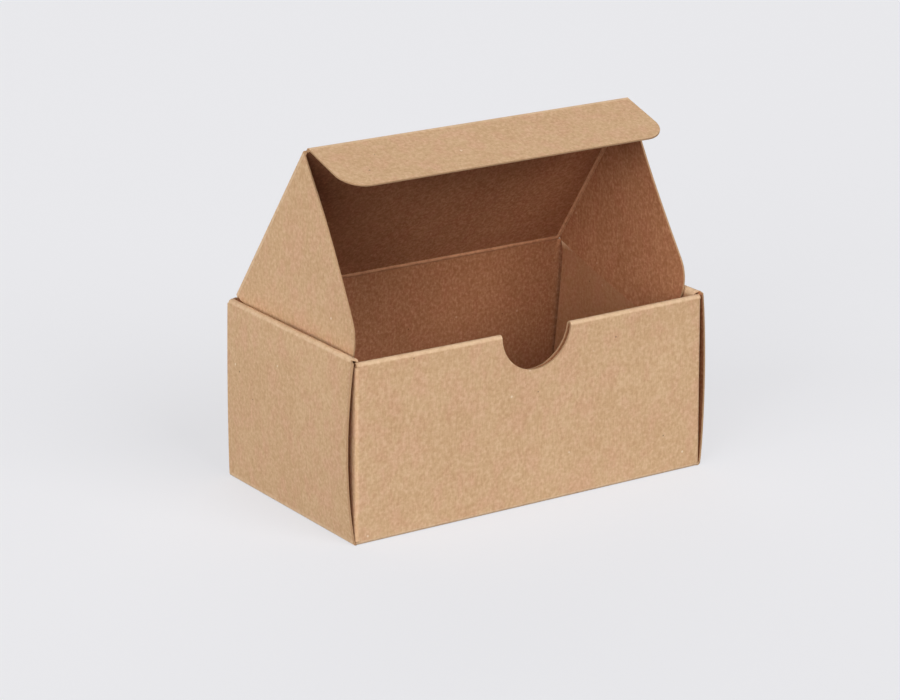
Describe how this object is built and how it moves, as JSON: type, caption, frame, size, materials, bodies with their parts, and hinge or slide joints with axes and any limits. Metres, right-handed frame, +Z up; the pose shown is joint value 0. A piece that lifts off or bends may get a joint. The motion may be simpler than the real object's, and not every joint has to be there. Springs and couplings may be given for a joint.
{
  "type": "business card box",
  "caption": "Open roll-end tuck-front carton of brown kraft board for business cards, with a hinged lid, a tuck flap, slanted dust flaps and a half-round thumb notch.",
  "frame": {"origin": "middle of the bottom's underside", "axes": "+X along the box's width, the notched front faces -Y, +Z up"},
  "size_m": [0.1022, 0.0564, 0.0878],
  "materials": {
    "kraft_board": "matt, uncoated, brown"
  },
  "bodies": {
    "tray": {"tray": "kraft_board"},
    "lid": {"lid": "kraft_board"},
    "tuck_flap": {"tuck_flap": "kraft_board"},
    "left_dust_flap": {"left_dust_flap": "kraft_board"},
    "right_dust_flap": {"right_dust_flap": "kraft_board"}
  },
  "joints": [
    {"name": "lid_hinge", "type": "hinge", "parent": "tray", "child": "lid", "pos_m": [0, 0.0277, 0.0452], "axis": [-1, 0, 0], "range_deg": [-55, 108]},
    {"name": "tuck_crease", "type": "hinge", "parent": "lid", "child": "tuck_flap", "pos_m": [0, -0.00184, 0.08739], "axis": [1, 0, 0], "range_deg": [-72, 37]},
    {"name": "left_dust_crease", "type": "hinge", "parent": "lid", "child": "left_dust_flap", "pos_m": [-0.04664, 0.01273, 0.06658], "axis": [0.0175, -0.5735, 0.819], "range_deg": [0, 84]},
    {"name": "right_dust_crease", "type": "hinge", "parent": "lid", "child": "right_dust_flap", "pos_m": [0.04664, 0.01273, 0.06658], "axis": [0.0175, 0.5735, -0.819], "range_deg": [0, 84]}
  ],
  "couplings": [
    {"joint": "tuck_crease", "follows": "lid_hinge", "ratio": -0.65}
  ]
}
